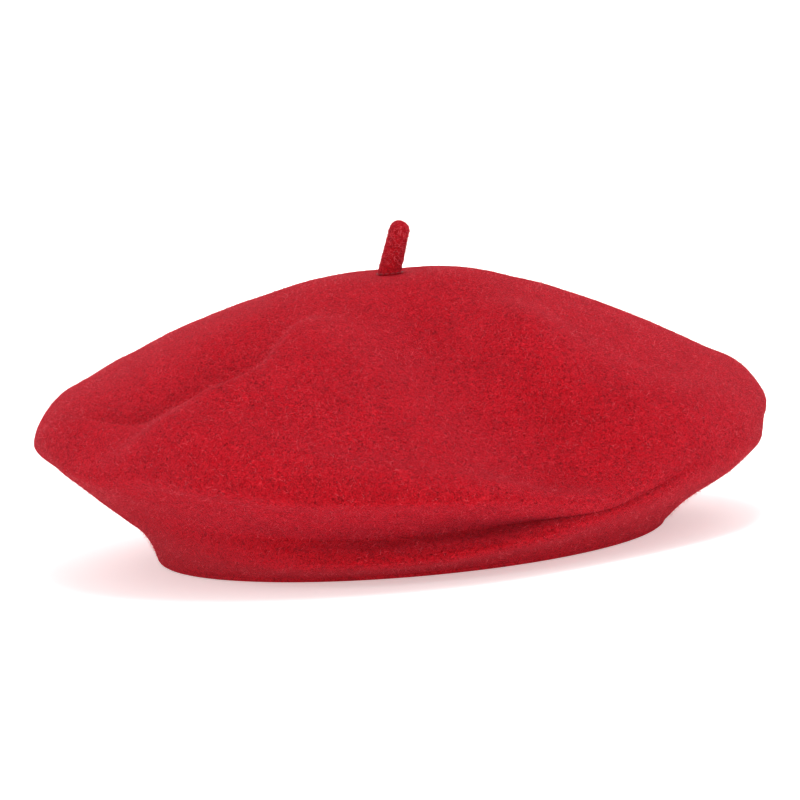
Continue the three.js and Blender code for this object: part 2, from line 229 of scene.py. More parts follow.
class Nodes:
    """Builds a node tree with short calls."""

    def __init__(self, name):
        self.material = bpy.data.materials.new(name)
        self.material.use_nodes = True
        self.tree = self.material.node_tree
        self.tree.nodes.clear()

    def add(self, kind, inputs=None, **settings):
        node = self.tree.nodes.new("ShaderNode" + kind)
        for key, value in settings.items():
            setattr(node, key, value)
        for key, value in (inputs or {}).items():
            if isinstance(value, bpy.types.NodeSocket):
                self.tree.links.new(value, node.inputs[key])
            else:
                node.inputs[key].default_value = value
        return node

    def place(self):
        """The point on the piece, in metres in the beret's frame."""
        return self.add("TexCoord").outputs["Object"]

    def math(self, operation, a, b=0.0):
        return self.add("Math", {0: a, 1: b}, operation=operation).outputs[0]

    def ramp(self, value, low, high, to_low=0.0, to_high=1.0):
        inputs = {"Value": value, "From Min": low, "From Max": high, "To Min": to_low, "To Max": to_high}
        return self.add("MapRange", inputs, clamp=True).outputs["Result"]

    def mix(self, factor, a, b, blend="MIX"):
        node = self.add("Mix", {0: factor, 6: a, 7: b}, data_type="RGBA", blend_type=blend)
        return node.outputs[2]

    def noise(self, where, scale, detail=2.0, distortion=0.0, roughness=0.5):
        inputs = {"Vector": where, "Scale": scale, "Detail": detail, "Roughness": roughness,
                  "Distortion": distortion}
        return self.add("TexNoise", inputs).outputs["Fac"]

    def finish(self, shader, height=None, strength=0.5, distance=0.0002):
        if height is not None:
            inputs = {"Height": height, "Strength": strength, "Distance": distance}
            bump = self.add("Bump", inputs)
            self.tree.links.new(bump.outputs["Normal"], shader.inputs["Normal"])
        self.add("OutputMaterial", {"Surface": shader.outputs[0]})
        return self.material


def wool_felt():
    """Fulled wool: short fibres that curl over each other, with dark gaps between them. The darkness of the
    gaps is painted shade and the lighter, pinker fibre tips are a painted highlight, laid over the wool's
    own fibre grain.
    """
    n = Nodes("wool_felt")
    place = n.place()
    gaps = n.noise(place, 950.0, 2.0, 1.2, 0.6)
    patches = n.noise(place, 60.0, 2.0)
    curls = None
    for scale, width in ((600.0, 0.055), (980.0, 0.065)):
        strand = n.noise(place, scale, 1.0, 2.4)
        ridge = n.ramp(n.math("ABSOLUTE", n.math("SUBTRACT", strand, 0.5)), width, 0.0)
        curls = ridge if curls is None else n.math("MAXIMUM", curls, ridge)
    # Colours of the gaps, the felt and the fibre tips: the dark gaps are painted shade between the fibres
    # and the light tips are a painted highlight, on top of the fibre grain.
    deep = (0.120, 0.0003, 0.0018, 1.0)
    body = (0.450, 0.0015, 0.0080, 1.0)
    lit_fibre_tips = (0.840, 0.0280, 0.0440, 1.0)
    colour = n.mix(n.ramp(gaps, 0.34, 0.56), deep, body)
    colour = n.mix(n.math("MULTIPLY", curls, 0.70), colour, lit_fibre_tips)
    shade = n.ramp(patches, 0.3, 0.7, 0.94, 1.04)
    colour = n.mix(1.0, colour, n.add("CombineColor", {0: shade, 1: shade, 2: shade}).outputs[0], "MULTIPLY")
    height = n.math("ADD", gaps, n.math("MULTIPLY", curls, 0.5))
    shader = n.add("BsdfPrincipled", {
        "Base Color": colour,
        "Roughness": 0.95,
        "Specular IOR Level": 0.06,
        "Sheen Weight": 0.55,
        "Sheen Roughness": 0.10,
        "Sheen Tint": (1.0, 0.10, 0.17, 1.0),
    })
    return n.finish(shader, height, 0.8, 0.0006)


def wool_nap():
    """Loose fibres of the same wool, lighter because the light comes through them."""
    n = Nodes("wool_nap")
    tone = n.noise(n.place(), 240.0, 2.0)
    colour = n.mix(n.ramp(tone, 0.35, 0.65), (0.62, 0.020, 0.036, 1.0), (0.95, 0.105, 0.135, 1.0))
    shader = n.add("BsdfPrincipled", {
        "Base Color": colour,
        "Roughness": 0.7,
        "Specular IOR Level": 0.25,
        "Sheen Weight": 0.4,
        "Sheen Roughness": 0.3,
        "Sheen Tint": (1.0, 0.25, 0.30, 1.0),
    })
    return n.finish(shader, tone, 0.3, 0.0001)


def grosgrain():
    """Ribbon with ribs across its width, about one each millimetre round the head."""
    n = Nodes("grosgrain_ribbon")
    place = n.place()
    split = n.add("SeparateXYZ", {0: place})
    angle = n.math("ARCTAN2", split.outputs["Y"], split.outputs["X"])
    ribs = n.math("SINE", n.math("MULTIPLY", angle, 560.0))
    weave = n.noise(place, 2600.0, 2.0)
    height = n.math("ADD", n.math("MULTIPLY", ribs, 0.5), n.math("MULTIPLY", weave, 0.25))
    colour = n.mix(n.ramp(ribs, -1.0, 1.0), (0.100, 0.003, 0.007, 1.0), (0.240, 0.007, 0.016, 1.0))
    shader = n.add("BsdfPrincipled", {
        "Base Color": colour,
        "Roughness": 0.52,
        "Specular IOR Level": 0.35,
        "Sheen Weight": 0.2,
        "Sheen Roughness": 0.35,
        "Sheen Tint": (0.70, 0.07, 0.12, 1.0),
    })
    return n.finish(shader, height, 0.8, 0.0003)


def woven_elastic():
    n = Nodes("elastic")
    place = n.place()
    split = n.add("SeparateXYZ", {0: place})
    angle = n.math("ARCTAN2", split.outputs["Y"], split.outputs["X"])
    slant = n.math("ADD", n.math("MULTIPLY", angle, 420.0), n.math("MULTIPLY", split.outputs["Z"], 2600.0))
    cords = n.math("SINE", n.math("MULTIPLY", split.outputs["Z"], 5600.0))
    height = n.math("ADD", n.math("SINE", slant), cords)
    colour = n.mix(n.ramp(height, -2.0, 2.0), (0.55, 0.52, 0.47, 1.0), (0.80, 0.78, 0.73, 1.0))
    shader = n.add("BsdfPrincipled", {"Base Color": colour, "Roughness": 0.8, "Specular IOR Level": 0.2})
    return n.finish(shader, height, 0.6, 0.0002)


def sewing_thread():
    n = Nodes("sewing_thread")
    place = n.place()
    ply = n.noise(place, 3200.0, 2.0, 1.0)
    colour = n.mix(n.ramp(ply, 0.35, 0.65), (0.16, 0.004, 0.010, 1.0), (0.34, 0.012, 0.024, 1.0))
    shader = n.add("BsdfPrincipled", {
        "Base Color": colour,
        "Roughness": 0.6,
        "Specular IOR Level": 0.3,
        "Sheen Weight": 0.2,
    })
    return n.finish(shader, ply, 0.6, 0.0002)


def label_satin():
    """Blank satin: fine floats along the ribbon and a softer sheen across them."""
    n = Nodes("label_satin")
    place = n.place()
    stretched = n.add("Mapping", {"Vector": place, "Scale": (1.0, 1.0, 6.0)}).outputs[0]
    floats = n.noise(stretched, 1500.0, 2.0)
    colour = n.mix(n.ramp(floats, 0.35, 0.65), (0.66, 0.62, 0.55, 1.0), (0.84, 0.82, 0.77, 1.0))
    shader = n.add("BsdfPrincipled", {
        "Base Color": colour,
        "Roughness": 0.42,
        "Specular IOR Level": 0.45,
        "Sheen Weight": 0.25,
    })
    return n.finish(shader, floats, 0.35, 0.0001)


def pale_floor():
    """A light table: pale, and lit a little from below."""
    n = Nodes("pale_floor")
    grain = n.noise(n.place(), 3.0, 2.0)
    colour = n.mix(grain, (0.90, 0.90, 0.90, 1.0), (0.93, 0.93, 0.93, 1.0))
    shader = n.add("BsdfPrincipled", {
        "Base Color": colour,
        "Roughness": 0.9,
        "Specular IOR Level": 0.1,
        "Emission Color": (1.0, 1.0, 1.0, 1.0),
        "Emission Strength": 0.40,
    })
    return n.finish(shader)


# ---- the slumped felt -----------------------------------------------------------------

# The felt's midline at a few angles round the beret: first the angle, then pairs of distance
# from the axis and height. The pairs are the rim or, at the front, the shelf that sags over it,
# followed by how round it is; the crease under it; the lower edge, which is the crisp rim at the
# front right; and the felt under that edge.
STATIONS = [
    (0, 139.2, 43.0, 13.0, 134.0, 27.5, 118.0, 14.8, 103.0, 7.5),
    (20, 138.2, 45.0, 11.0, 127.0, 27.0, 108.0, 16.0, 100.0, 8.5),
    (50, 135.8, 49.0, 10.5, 119.5, 27.5, 104.0, 16.5, 98.6, 8.5),
    (90, 133.5, 51.0, 10.5, 117.0, 28.0, 103.5, 16.5, 98.4, 8.5),
    (140, 136.2, 53.5, 12.0, 118.0, 29.0, 103.5, 17.0, 98.4, 8.5),
    (180, 139.8, 51.0, 13.5, 118.5, 29.0, 104.0, 17.5, 98.8, 9.0),
    (205, 138.8, 46.0, 13.5, 117.5, 28.0, 105.0, 15.5, 99.4, 7.0),
    (222, 137.0, 41.5, 13.5, 115.5, 26.5, 108.5, 13.0, 99.8, 5.5),
    (240, 134.0, 36.5, 13.0, 112.0, 20.5, 113.0, 10.5, 100.5, 4.5),
    (260, 131.0, 33.0, 10.5, 108.5, 16.5, 117.0, 9.5, 101.5, 4.2),
    (275, 129.0, 31.0, 7.0, 107.0, 16.5, 119.0, 10.0, 102.0, 4.5),
    (287, 126.5, 28.5, 4.5, 108.5, 17.0, 120.0, 12.0, 102.5, 5.5),
    (297, 123.5, 26.0, 3.5, 112.5, 19.0, 120.5, 14.2, 103.0, 6.5),
    (307, 122.5, 24.5, 3.5, 118.5, 20.5, 120.5, 17.5, 104.0, 7.5),
    (318, 124.5, 27.5, 3.5, 122.6, 23.5, 124.5, 21.2, 105.5, 9.0),
    (330, 129.5, 33.0, 5.0, 129.3, 29.0, 129.0, 25.8, 107.0, 10.5),
    (343, 134.5, 38.5, 8.5, 135.0, 32.0, 130.5, 25.5, 106.5, 10.5),
]

# How the plate falls from the apex to the rim's shoulder: share of the radius, share of the drop,
# and the same where the front sags.
PLATE = [
    (0.18, 0.00, 0.055),
    (0.38, 0.145, 0.22),
    (0.60, 0.37, 0.47),
    (0.78, 0.62, 0.74),
    (0.91, 0.83, 0.92),
    (1.0, 1.0, 1.0),
]
SAG_ANGLE, SAG_SPREAD = 268, 48

# Radial folds: angle at the inner and the outer end, radius where the one turns into the other,
# half-width before and after the fold's middle in degrees, lift, and the radius where the fold
# starts and where it ends.
FOLDS = [
    (241, 223, 120, 7, 19, 10.5, 68, 134),
    (225, 210, 115, 12, 10, -9.0, 72, 126),
    (236, 180, 130, 6, 8, 7.0, 112, 142),
    (284, 302, 94, 18, 16, -11.0, 44, 114),
    (315, 334, 112, 11, 13, 9.0, 62, 128),
    (10, 10, 100, 35, 40, -1.5, 78, 122),
]
FOLD_TURN = 35                  # a fold turns within this distance of its turning radius
FOLD_RISE = (-25, 10)           # it rises between these distances from where it starts
FOLD_FALL = (-8, 18)            # and falls between these distances from where it ends


def hermite(start, slope_in, end, slope_out, t):
    return (
        (2 * t**3 - 3 * t**2 + 1) * start + (t**3 - 2 * t**2 + t) * slope_in
        + (3 * t**2 - 2 * t**3) * end + (t**3 - t**2) * slope_out
    )


def around(degrees, column):
    """A station's value at any angle, carried smoothly from station to station."""
    angles = np.array([station[0] for station in STATIONS], float)
    values = np.array([station[column] for station in STATIONS], float)
    count = len(angles)
    here = np.searchsorted(angles, degrees, side="right") - 1
    turns = np.array([-1, 0, 1, 2])[:, None] + here
    at = angles[turns % count] + 360.0 * (turns // count)
    value = values[turns % count]
    span = at[2] - at[1]
    slope_in = span * (value[2] - value[0]) / (at[2] - at[0])
    slope_out = span * (value[3] - value[1]) / (at[3] - at[1])
    return hermite(value[1], slope_in, value[2], slope_out, (degrees - at[1]) / span)


def midline_controls(degrees):
    """Control points of the felt's midline at each angle, from the apex to the hem."""
    columns = [around(degrees, column) for column in range(1, 10)]
    rim, height, bend, crease, crease_height, edge, edge_height, under, under_height = columns
    shoulder, shoulder_height = rim - 0.65 * bend, height + bend
    controls = [np.full((len(degrees), 2), (STALK_HOLE, APEX - PUCKER))]
    sag = bell(wrap(degrees - SAG_ANGLE) / SAG_SPREAD)
    for share, drop, sagged in PLATE:
        fall = drop + (sagged - drop) * sag
        controls.append(np.stack([share * shoulder, APEX - fall * (APEX - shoulder_height)], -1))
    rim = np.stack([rim, height], -1)
    crease = np.stack([crease, crease_height], -1)
    edge = np.stack([edge, edge_height], -1)
    under = np.stack([under, under_height], -1)
    hem = np.full((len(degrees), 2), (HEM_MID, FELT / 2 + HEM_BEND))
    over = rim + 0.3 * (crease - rim)
    edge_top = edge + 0.35 * (crease - edge)
    edge_low = edge + 0.12 * (under - edge)
    return controls + [rim, over, crease, edge_top, edge_low, under, hem]


def through(controls, steps):
    """A centripetal Catmull-Rom curve through the control points, one curve for each angle."""
    ends = [2 * controls[0] - controls[1]] + controls + [2 * controls[-1] - controls[-2]]
    share = np.arange(steps)[:, None, None] / steps
    rows = []
    for before, start, end, after in zip(ends, ends[1:], ends[2:], ends[3:]):
        pairs = ((before, start), (start, end), (end, after))
        first, span, last = [np.sqrt(np.linalg.norm(b - a, axis=-1, keepdims=True)) for a, b in pairs]
        slope_in = (start - before) / first - (end - before) / (first + span) + (end - start) / span
        slope_out = (end - start) / span - (after - start) / (span + last) + (after - end) / last
        rows.extend(hermite(start, slope_in * span, end, slope_out * span, share))
    return rows + [controls[-1]]


def hem_turn(count, steps):
    """The midline round the hem's two corners and up the flap, the same at every angle."""
    low = FELT / 2
    rows = []
    for turn in np.radians(np.linspace(0, 90, steps + 1)[1:]):
        rows.append((HEM_MID - HEM_BEND * (1 - math.cos(turn)), low + HEM_BEND * (1 - math.sin(turn))))
    for turn in np.radians(np.linspace(0, 90, steps + 1)):
        rows.append((FLAP_MID + HEM_BEND * (1 - math.sin(turn)), low + HEM_BEND * (1 - math.cos(turn))))
    for height in np.linspace(low + HEM_BEND, FLAP_HEIGHT, 4 * steps + 1)[1:]:
        rows.append((FLAP_MID, height))
    return [np.full((count, 2), row) for row in rows]


def fold_lift(radius, degrees, z):
    """How far the radial folds lift the felt; they die out under the rim and at the stalk."""
    rim_height = around(degrees[0], 2)[None]
    lift = np.zeros_like(z)
    for inner, outer, turn, before, after, height, start, end in FOLDS:
        centre = inner + (outer - inner) * smooth(turn - FOLD_TURN, turn + FOLD_TURN, radius)
        apart = wrap(degrees - centre)
        across = bell(apart / np.where(apart < 0, before, after))
        starts = smooth(start + FOLD_RISE[0], start + FOLD_RISE[1], radius)
        ends = 1 - smooth(end + FOLD_FALL[0], end + FOLD_FALL[1], radius)
        lift += height * across * starts * ends
    return lift * smooth(-12, 8, z - rim_height) * smooth(6, 30, radius)


def felt_midsurface(count, steps):
    """The middle of the felt as rows from the apex to the top of the flap."""
    degrees = np.arange(count) * 360.0 / count
    hem = hem_turn(count, 4)
    profile = np.stack(through(midline_controls(degrees), steps) + hem, 0)
    radius, z = profile[..., 0], profile[..., 1]
    turned = np.broadcast_to(degrees, radius.shape)
    lift = fold_lift(radius, turned, z)
    lift[-len(hem):] = 0.0
    return on_ring(radius, turned, z + lift)


def surface_normals(points):
    """Unit normals of the felt's middle, which point up at the apex."""
    down = np.gradient(points, axis=0)
    across = np.roll(points, -1, 1) - np.roll(points, 1, 1)
    normal = np.cross(down, across)
    normal /= np.linalg.norm(normal, axis=-1, keepdims=True)
    normal[0] = (0.0, 0.0, 1.0 if normal[1, 0, 2] > 0 else -1.0)
    return normal if normal[1, 0, 2] > 0 else -normal


def away_from_middle(rings):
    """Directions outwards from the middle of each ring."""
    away = rings - rings.mean(1, keepdims=True)
    return away / np.maximum(np.linalg.norm(away, axis=-1, keepdims=True), 1e-6)


def felt_unevenness(points):
    """Small hand-made waves, which die out at the stalk and towards the sewn hem."""
    radius, z = np.hypot(points[..., 0], points[..., 1]), points[..., 2]
    fade = smooth(6.0, 26.0, z) * smooth(8.0, 30.0, radius)
    waves = [sum(height * noise.noise(Vector(point) / spread) for height, spread in WAVES)
             for point in points.reshape(-1, 3)]
    off_the_flap = (radius > FLAP_MID + HEM_CHANNEL) | (z > FLAP_HEIGHT + 8.0)
    return np.reshape(waves, fade.shape) * fade * off_the_flap


def felt_nap(name, surface, normal, bare, count, material):
    """Short loose fibres that stand off the felt, thin as wool, rooted just below its surface.

    bare(points) is true where there are none.
    """
    chance = np.random.default_rng(NAP_SEED)
    corner = surface[:-1]
    along = np.roll(surface, -1, 1)[:-1] - corner
    down = surface[1:] - corner
    area = np.linalg.norm(np.cross(along, down), axis=-1)
    area[bare(corner)] = 0.0
    count = int(count * FINE)
    cell = chance.choice(area.size, count, p=area.ravel() / area.sum())
    corner, along, down, up = [grid.reshape(-1, 3)[cell] for grid in (corner, along, down, normal[:-1])]
    root = corner + chance.random((count, 1)) * along + chance.random((count, 1)) * down - NAP_ROOT * up
    first = along / np.linalg.norm(along, axis=1, keepdims=True)
    second = np.cross(up, first)
    heading = chance.uniform(0, 2 * math.pi, (count, 1))
    ahead = np.cos(heading) * first + np.sin(heading) * second
    aside = np.cross(up, ahead)
    length = chance.uniform(*NAP_LENGTH, (count, 1))
    rise = np.radians(chance.uniform(*NAP_RISE, (count, 1)))
    curl = chance.uniform(-NAP_CURL, NAP_CURL, (count, 1))
    rings = []
    for share, thick in NAP_SHAPE:
        height = np.sin(rise) * math.sin(share * math.pi / 2)
        middle = root + length * (share * np.cos(rise) * ahead + height * up + curl * share**2 * aside)
        for turn in np.radians((90, 210, 330)):
            rings.append(middle + thick * (math.cos(turn) * aside + math.sin(turn) * up))
    points = np.stack(rings, 1).reshape(-1, 3)
    first_points = len(rings) * np.arange(count)[:, None, None]
    sides = (np.array(grid_faces(len(NAP_SHAPE), 3, False)) + first_points).reshape(-1, 4).tolist()
    ends = (np.array([(2, 1, 0), (6, 7, 8)]) + first_points).reshape(-1, 3).tolist()
    piece = face_out(mesh_object(name, points, sides + ends, material))
    return piece


def crown_is_bare(points):
    """True near the stalk, under the hem and on the turned-in flap."""
    radius, z = np.hypot(points[..., 0], points[..., 1]), points[..., 2]
    return (radius < NAP_CLEAR) | (z < 4.0) | ((radius < HEM_MID + 0.5) & (z < FLAP_HEIGHT + 2.0))


def felt_crown(material, nap):
    """The felt as one closed sheet: its outside, its inside and the edges that join them."""
    count = int(CROWN_POINTS * FINE)
    middle = felt_midsurface(count, int(CROWN_STEPS * FINE))
    normal = surface_normals(middle)
    middle = middle + normal * felt_unevenness(middle)[..., None]
    outside = middle + normal * FELT / 2
    inside = middle - normal * FELT / 2
    fibres = felt_nap("beret_nap", outside, normal, crown_is_bare, NAP_COUNT, nap)
    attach(fibres, "crown")
    rows = np.concatenate([outside, inside[::-1]], 0)
    points = rows.reshape(-1, 3)
    faces = grid_faces(len(rows), count, True)
    piece = face_out(mesh_object("beret_felt", points, faces, material))
    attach(piece, "crown")
    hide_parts("felt_crown")


# ---- the stalk ---------------------------------------------------------------------------

def stalk_outline(foot, flange, under, top):
    """Radius and height of the upright stalk, from the middle of its flange to its round tip."""
    outline = [(0.0, under), (flange - 0.6, under), (flange, under + 0.7)]
    outline += [(flange - 0.6, under + 1.4), (STALK_NECK, under + 1.5)]
    outline += [(STALK_NECK, z) for z in np.linspace(under + 2.0, CROWN_TOP - PUCKER - 0.4, 4)]
    outline += [(foot, CROWN_TOP - PUCKER + 0.1), (foot + 0.2, CROWN_TOP - 0.2)]
    dome = top - STALK_TIP
    for z in np.linspace(CROWN_TOP + 1.0, dome, int(26 * FINE)):
        share = (z - CROWN_TOP) / (dome - CROWN_TOP)
        outline.append((foot + (STALK_TIP - foot) * share, z))
    for turn in np.radians(np.linspace(10, 80, 8)):
        outline.append((STALK_TIP * math.cos(turn), dome + STALK_TIP * math.sin(turn)))
    return outline + [(0.0, top)]


def leaning_ring(radius, z, degrees):
    """A ring of the stalk, tilted about the foot by more the higher it is, up to the full lean."""
    ring = on_ring(radius, degrees, z)
    bend = smooth(CROWN_TOP - 1.0, CROWN_TOP + 3.0, z) * math.radians(STALK_LEAN)
    above = z - CROWN_TOP
    centre_x = above * math.sin(bend) if above > 0 else 0.0
    centre_z = CROWN_TOP + above * math.cos(bend) if above > 0 else z
    offset_x = ring[:, 0] * math.cos(bend)
    offset_z = -ring[:, 0] * math.sin(bend)
    return np.stack([centre_x + offset_x, ring[:, 1], centre_z + offset_z], -1)


def stalk_is_bare(points):
    """True near the stalk's foot."""
    return points[..., 2] < CROWN_TOP + 3.0


def make_uneven(piece):
    """Small lumps on the stalk above its foot."""
    lumps = [noise.noise(vertex.co * LUMP_SCALE) for vertex in piece.data.vertices]
    normals = [vertex.normal.copy() for vertex in piece.data.vertices]
    for vertex, lump, direction in zip(piece.data.vertices, lumps, normals):
        if vertex.co.z > (CROWN_TOP + 1.0) * MM:
            vertex.co += direction * lump * STALK_LUMPS * MM


def stalk(material, nap):
    """One piece of felt from the flange under the crown, through the hole, to the round tip."""
    root_low, root_high = node_box("stem_root")
    stem_low, stem_high = node_box("stem")
    pivot = in_mm(PIVOTS["stem_bend"]["pos_m"])
    foot = (stem_high[1] - stem_low[1]) / 2
    outline = stalk_outline(foot, root_high[0], root_low[2] - PUCKER, pivot[2] + STALK_LENGTH)
    count = int(STALK_POINTS * FINE)
    degrees = np.arange(count) * 360.0 / count
    rows = np.stack([leaning_ring(radius, z, degrees) for radius, z in outline], 0)
    faces = grid_faces(len(rows), count, False)
    piece = face_out(mesh_object("stalk_felt", rows.reshape(-1, 3), faces, material))
    fibres = felt_nap("stalk_nap", rows, away_from_middle(rows), stalk_is_bare, STALK_NAP_COUNT, nap)
    make_uneven(piece)
    for soft in (piece, fibres):
        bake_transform(soft)
    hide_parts("stem", "stem_root")


# ---- threads -------------------------------------------------------------------------------

def tube(points, radius, sides=6, closed=False):
    """Vertices and faces of a thin round thread that follows points, with round ends."""
    path = np.asarray(points, float)
    if closed:
        along = np.roll(path, -1, 0) - np.roll(path, 1, 0)
        sizes = np.full(len(path), radius)
    else:
        along = np.gradient(path, axis=0)
        step = np.linspace(-1, 1, len(path))
        sizes = radius * np.sqrt(np.clip(1.02 - step**6, 0.02, 1.0))
    along /= np.linalg.norm(along, axis=1, keepdims=True)
    upright = np.where(np.abs(along[:, 2:3]) > 0.8, (1.0, 0.0, 0.0), (0.0, 0.0, 1.0))
    side = np.cross(along, upright)
    side /= np.linalg.norm(side, axis=1, keepdims=True)
    over = np.cross(along, side)
    turn = np.radians(np.arange(sides) * 360.0 / sides)[None, :, None]
    circle = np.cos(turn) * side[:, None] + np.sin(turn) * over[:, None]
    rings = path[:, None] + sizes[:, None, None] * circle
    faces = grid_faces(len(path), sides, closed)
    if not closed:
        faces += end_faces(len(path), sides)
    return rings.reshape(-1, 3), faces


def stitches(name, paths, radius, material, body, node):
    """Many short threads as one piece."""
    points, faces = joined([tube(path, radius) for path in paths])
    piece = face_out(mesh_object(name, points, faces, material))
    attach(piece, body)
    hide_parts(node)


def ring_of_stitches(radius, z, count, filled, lift):
    """Paths of equal stitches around the beret's axis; each one bows inwards by lift.

    radius is a number or a function of the angle; filled is the thread's share of each step.
    """
    paths = []
    for i in range(count):
        across = np.linspace(-0.5, 0.5, STITCH_POINTS)
        degrees = (i + filled * across) * 360.0 / count
        near = radius(degrees) if callable(radius) else radius
        dip = lift * (1 - (2 * across) ** 2)
        paths.append(on_ring(near - dip, degrees, z))
    return paths


def stalk_thread(material):
    """The gathering thread that draws the hole's edge to the foot of the stalk."""
    low, high = node_box("stem_thread")
    radius = (high[0] - low[0]) / 2 - 0.3
    z = (low[2] + high[2]) / 2 - 1.05 * PUCKER
    half_stitch = 8.5
    bow = np.cos(np.linspace(-math.pi / 2, math.pi / 2, STITCH_POINTS))
    paths = []
    for i in range(STALK_STITCHES):
        degrees = i * 360.0 / STALK_STITCHES + np.linspace(-half_stitch, half_stitch, STITCH_POINTS)
        paths.append(on_ring(radius - 0.1 * bow, degrees, z - 0.15 + 0.22 * bow))
    stitches("stalk_base_stitches", paths, FINE_THREAD, material, "crown", "stem_thread")


def stalk_knot(material):
    """A tight overhand knot with two cut ends."""
    low, high = node_box("stem_knot")
    middle = (low + high) / 2 - (0.0, 0.0, PUCKER)
    size, thick = 0.36, 0.34
    turn = np.linspace(0, 2 * math.pi, 60, endpoint=False)
    wide = np.sin(turn) + 2 * np.sin(2 * turn)
    deep = np.cos(turn) - 2 * np.cos(2 * turn)
    knot = middle + np.stack([wide, deep, -1.2 * np.sin(3 * turn)], -1) * size
    parts = [tube(knot, thick, sides=8, closed=True)]
    for side in (-1, 1):
        reach = np.linspace(0, 1, 8)
        end = middle + np.stack([side * (0.5 + 0.9 * reach), 0.3 * reach, -0.3 - reach**2], -1)
        parts.append(tube(end, THREAD))
    points, faces = joined(parts)
    piece = face_out(mesh_object("stalk_knot", points, faces, material))
    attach(piece, "crown")
    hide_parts("stem_knot")


# ---- elastic, ribbon and bow ------------------------------------------------------------------

def rounded_section(thick, low, high, steps=3):
    """Offsets from the middle of a band and heights, once round a section with rounded edges."""
    half = thick / 2
    bottom = [(half * math.sin(a), low + half - half * math.cos(a))
              for a in np.radians(np.linspace(-90, 90, 2 * steps + 1))]
    top = [(half * math.sin(a), high - half - half * math.cos(a))
           for a in np.radians(np.linspace(90, 270, 2 * steps + 1))]
    rise = np.linspace(0, 1, 7)[1:-1]
    right = [(half, low + half + (high - low - thick) * share) for share in rise]
    left = [(-half, high - half - (high - low - thick) * share) for share in rise]
    return np.array(bottom + right + top + left)


def curved_band(name, material, degrees, middle, section, closed, relief=None):
    """A band that follows the inside of the hem.

    relief(angle, height) moves its two faces apart by a few hundredths of a millimetre, and
    leaves its rounded edges as they are.
    """
    rows = []
    for angle, radius in zip(degrees, middle):
        offset, height = section[:, 0], section[:, 1]
        on_a_face = np.abs(offset) > 0.2
        push = 0.0 if relief is None else relief(angle, height) * np.sign(offset) * on_a_face
        rows.append(on_ring(radius + offset + push, angle, height))
    across = len(section)
    faces = grid_faces(len(rows), across, closed)
    if not closed:
        faces += end_faces(len(rows), across)
    return face_out(mesh_object(name, np.concatenate(rows), faces, material))


def elastic(material):
    """The flat elastic in the hem's channel, slightly gathered."""
    low, high = node_box("elastic_band")
    count = int(720 * FINE)
    degrees = np.arange(count) * 360.0 / count
    section = rounded_section(ELASTIC_THICK, low[2], high[2])
    middle = np.full(count, high[0] - ELASTIC_INSET)

    def gathered(angle, height):
        return GATHER_HEIGHT * math.sin(math.radians(angle) * GATHERS) * np.cos(height * 5.6)

    piece = curved_band("hem_elastic", material, degrees, middle, section, True, gathered)
    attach(piece, "crown")
    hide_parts("elastic_band")


def ribbon_middle(degrees):
    """The radius of the ribbon's middle, which steps in over the ribbon's start."""
    once_round = RIBBON_START + 360
    lapped = smooth(once_round - LAP_RAMP, once_round, degrees)
    return RIBBON_RADIUS - RIBBON_THICK / 2 - LAP_STEP * lapped


def ribbon_face(degrees):
    """The radius of the ribbon's visible face, which steps in where it laps."""
    apart = np.abs(wrap(degrees - RIBBON_START - RIBBON_LAP / 2))
    return RIBBON_RADIUS - RIBBON_THICK - LAP_STEP * (1 - smooth(14, 22, apart))


def sweatband(material):
    """The ribbed ribbon round the inside of the hem, with its end lapped over its start."""
    low, high = node_box("sweatband")
    points_to_a_rib = 4
    count = int((360 + RIBBON_LAP) * RIB_COUNT / 360 * points_to_a_rib * FINE)
    degrees = np.linspace(RIBBON_START, RIBBON_START + 360 + RIBBON_LAP, count)
    section = rounded_section(RIBBON_THICK - 2 * RIB_HEIGHT, low[2], high[2])

    def ribs(angle, _height):
        return RIB_HEIGHT * math.sin(math.radians(angle) * RIB_COUNT)

    piece = curved_band("sweatband_ribbon", material, degrees, ribbon_middle(degrees), section, False, ribs)
    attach(piece, "crown")
    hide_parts("sweatband")


def on_the_ribbon(degrees):
    """The radius at which a stitch lies on the ribbon's face."""
    return ribbon_face(degrees) - 0.12


def hem_threads(material):
    """The row that holds the ribbon, and the row that closes the elastic's channel."""
    low, high = node_box("sweatband_thread")
    height = (low[2] + high[2]) / 2
    paths = ring_of_stitches(on_the_ribbon, height, SWEATBAND_STITCHES, filled=0.78, lift=0.22)
    stitches("sweatband_stitches", paths, THREAD, material, "crown", "sweatband_thread")
    low, high = node_box("channel_thread")
    height = (low[2] + high[2]) / 2
    paths = ring_of_stitches(high[0] - 0.35, height, CHANNEL_STITCHES, filled=0.80, lift=0.1)
    stitches("channel_stitches", paths, CHANNEL_THREAD, material, "crown", "channel_thread")


def bow(material):
    """A flat bow: one ribbon folded into two loops and drawn together by a wrap."""
    low, high = node_box("bow_ribbon")
    middle = (low + high) / 2
    wide, deep, tall = (high - low) / 2
    count = int(200 * FINE)
    turn = np.linspace(0, 2 * math.pi, count, endpoint=False)
    x = (wide - BOW_THICK / 2) * np.cos(turn)
    waist = 0.30 + 0.70 * smooth(1.5, 7.5, np.abs(x))
    y = (deep - BOW_THICK / 2) * np.sign(np.sin(turn)) * np.abs(np.sin(turn)) ** 0.6 * waist
    path = np.stack([x, y], -1)
    section = rounded_section(BOW_THICK, -tall, tall, 2)
    pinch = 1.0 - 0.10 * bell(x / 3.0)
    rows = []
    for point, away, narrow in zip(path, outwards(path), pinch):
        flat = point + section[:, :1] * away
        rows.append(np.column_stack([flat + middle[:2], middle[2] + section[:, 1] * narrow]))
    faces = grid_faces(count, len(section), True)
    loops = face_out(mesh_object("bow_loops", np.concatenate(rows), faces, material))
    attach(loops, "crown")
    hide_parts("bow_ribbon")
    bow_wrap(material)


